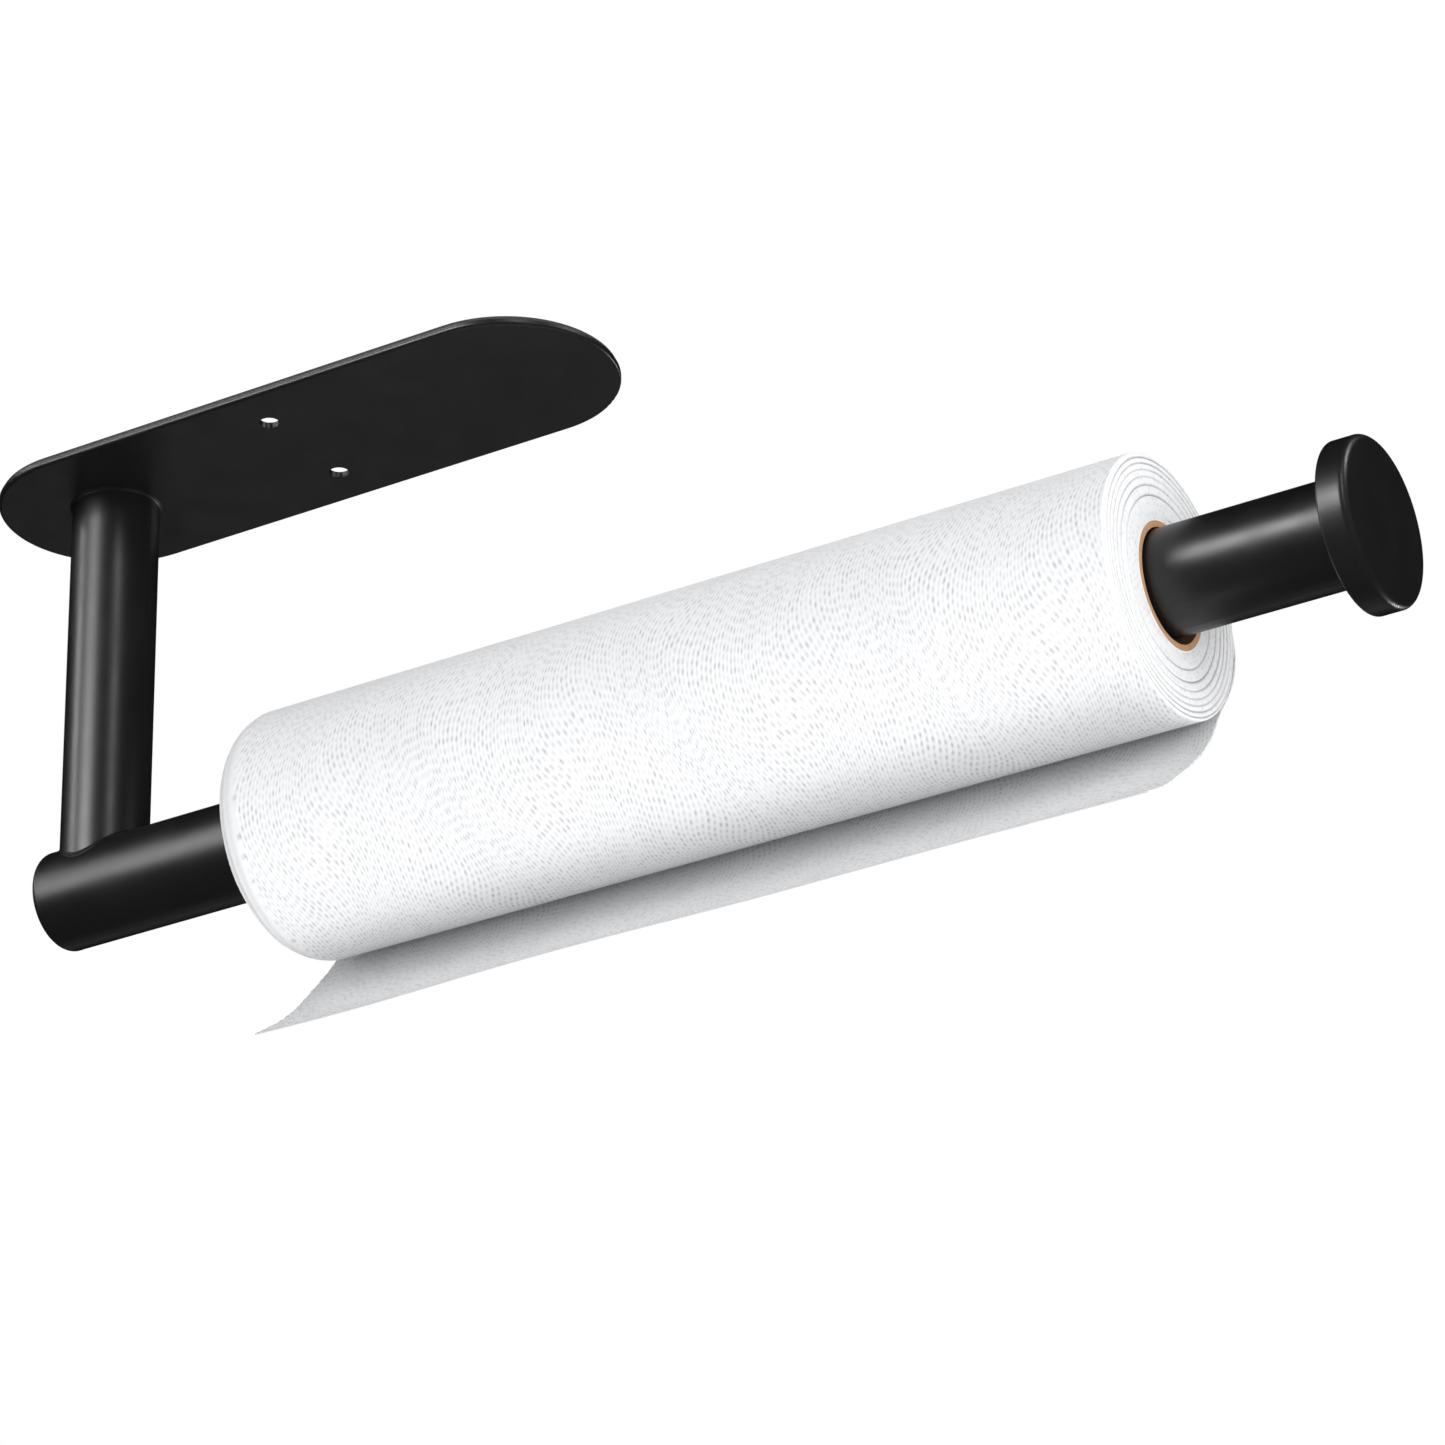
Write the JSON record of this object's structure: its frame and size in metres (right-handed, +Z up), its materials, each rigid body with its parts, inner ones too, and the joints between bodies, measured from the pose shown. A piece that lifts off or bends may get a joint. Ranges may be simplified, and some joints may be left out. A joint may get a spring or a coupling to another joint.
{
  "type": "paper towel holder",
  "caption": "One-arm under-cabinet paper towel holder: flat rounded plate, round post and horizontal bar with a screw-on end cap, carrying a part-used towel roll.",
  "frame": {"origin": "centre of the plate's adhesive face, where it meets the underside of the cabinet", "axes": "+Z up towards the cabinet, +X along the bar from the post to the free end, +Y away from the user"},
  "size_m": [0.378, 0.0629, 0.1677],
  "materials": {
    "foam": "closed-cell foam with a tacky face",
    "black_coat": "matte powder coat",
    "zinc_steel": "zinc plated",
    "nylon": "natural nylon",
    "core_board": "spiral-wound grey-brown board",
    "towel_paper": "soft embossed tissue"
  },
  "bodies": {
    "frame": {"adhesive_pad": "foam", "mounting_plate": "black_coat", "plate_screws": "zinc_steel", "post_top_insert": "zinc_steel", "post_tube": "black_coat", "saddle_insert": "zinc_steel", "saddle_washer": "zinc_steel", "saddle_lock_washer": "zinc_steel", "saddle_screw": "zinc_steel", "bar_tube": "black_coat", "bar_end_plug": "black_coat", "bar_end_insert": "zinc_steel"},
    "washer": {"cap_washer": "nylon"},
    "cap": {"end_cap": "black_coat", "cap_stud": "zinc_steel"},
    "sheet": {"loose_sheet": "towel_paper"},
    "roll": {"roll_core": "core_board", "paper_roll": "towel_paper"}
  },
  "joints": [
    {"name": "roll_slide", "type": "slide", "parent": "frame", "child": "sheet", "axis": [1, 0, 0], "range_m": [-0.0415, 0.045]},
    {"name": "roll_spin", "type": "hinge", "parent": "sheet", "child": "roll", "pos_m": [0.12, 0, -0.1098], "axis": [1, 0, 0], "continuous": true},
    {"name": "cap_travel", "type": "slide", "parent": "frame", "child": "washer", "axis": [1, 0, 0], "range_m": [0, 0.01]},
    {"name": "cap_screw", "type": "hinge", "parent": "washer", "child": "cap", "pos_m": [0.2825, 0, -0.109], "axis": [1, 0, 0], "range_deg": [0, 3610]}
  ],
  "couplings": [
    {"joint": "cap_screw", "follows": "cap_travel", "rad_per_m": 6283.2}
  ]
}
